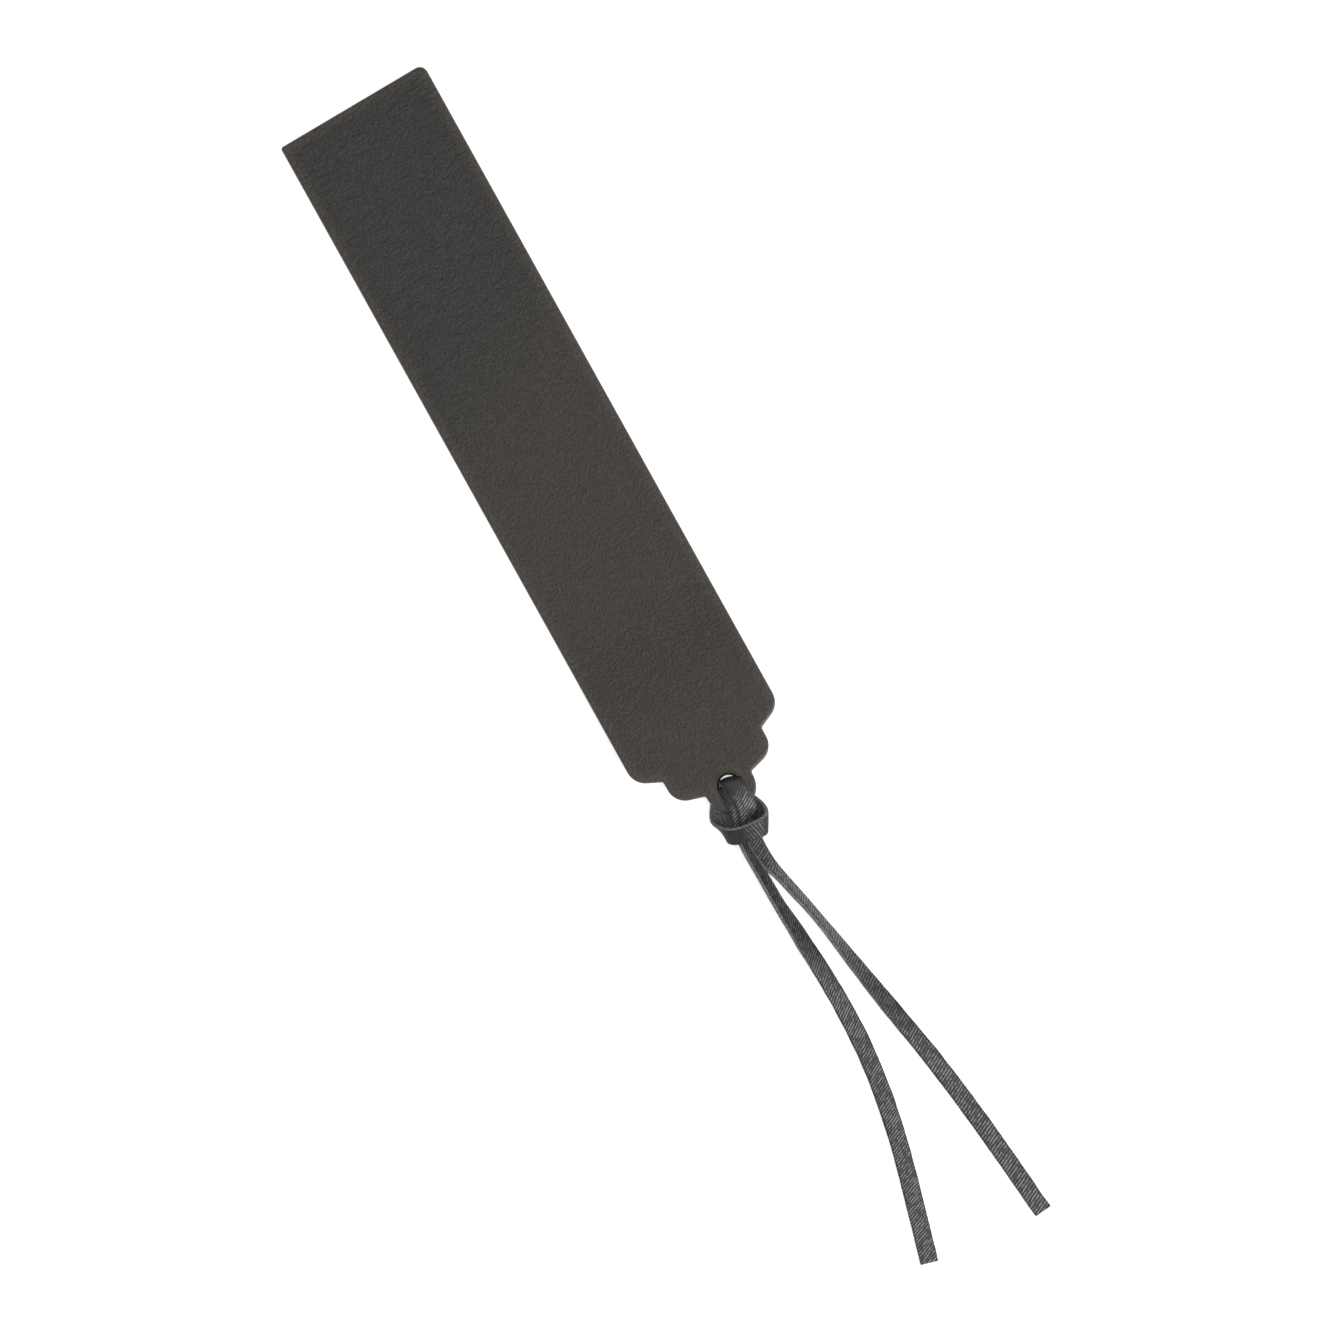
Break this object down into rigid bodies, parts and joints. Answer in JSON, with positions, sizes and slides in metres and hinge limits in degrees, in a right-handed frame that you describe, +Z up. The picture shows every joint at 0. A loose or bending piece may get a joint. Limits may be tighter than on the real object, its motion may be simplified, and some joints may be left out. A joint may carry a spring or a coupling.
{
  "type": "bookmark",
  "caption": "Dark leather bookmark: a long flat strip with a stepped, scalloped end and a punched tab, and a flat leather lace hitched through the tab, its tails lying free.",
  "frame": {"origin": "on the table, under the middle of the strip's length, on the strip's flat back face", "axes": "+Y to the strip's square top end, the tab and the lace towards -Y; +Z up, out of the grain face"},
  "size_m": [0.038, 0.2993, 0.0065],
  "materials": {
    "strip_leather": "matte, fine-grained dark taupe",
    "lace_leather": "satin charcoal with suede cut edges"
  },
  "bodies": {
    "strip": {"leather_strip": "strip_leather"},
    "hitch": {"hitch_loop": "lace_leather", "left_strand": "lace_leather", "right_strand": "lace_leather"},
    "left_neck": {"left_neck": "lace_leather"},
    "right_neck": {"right_neck": "lace_leather"},
    "left_tail": {"left_tail": "lace_leather"},
    "right_tail": {"right_tail": "lace_leather"}
  },
  "joints": [
    {"name": "tassel_swivel", "type": "hinge", "parent": "strip", "child": "hitch", "pos_m": [0, -0.0857, 0.003], "axis": [0, 0, 1], "range_deg": [-30, 30]},
    {"name": "left_tail_swing", "type": "hinge", "parent": "hitch", "child": "left_neck", "pos_m": [-0.00351, -0.10035, 0.0021], "axis": [0, 0, 1], "range_deg": [-35, 0]},
    {"name": "right_tail_swing", "type": "hinge", "parent": "hitch", "child": "right_neck", "pos_m": [-0.0005, -0.10035, 0.0021], "axis": [0, 0, 1], "range_deg": [0, 35]},
    {"name": "left_tail_lift", "type": "hinge", "parent": "left_neck", "child": "left_tail", "pos_m": [-0.00262, -0.124, 0.0005], "axis": [-0.9983, -0.058, 0], "range_deg": [-70, 75]},
    {"name": "right_tail_lift", "type": "hinge", "parent": "right_neck", "child": "right_tail", "pos_m": [0.0035, -0.124, 0.0005], "axis": [-0.9865, -0.1636, 0], "range_deg": [-70, 75]}
  ]
}
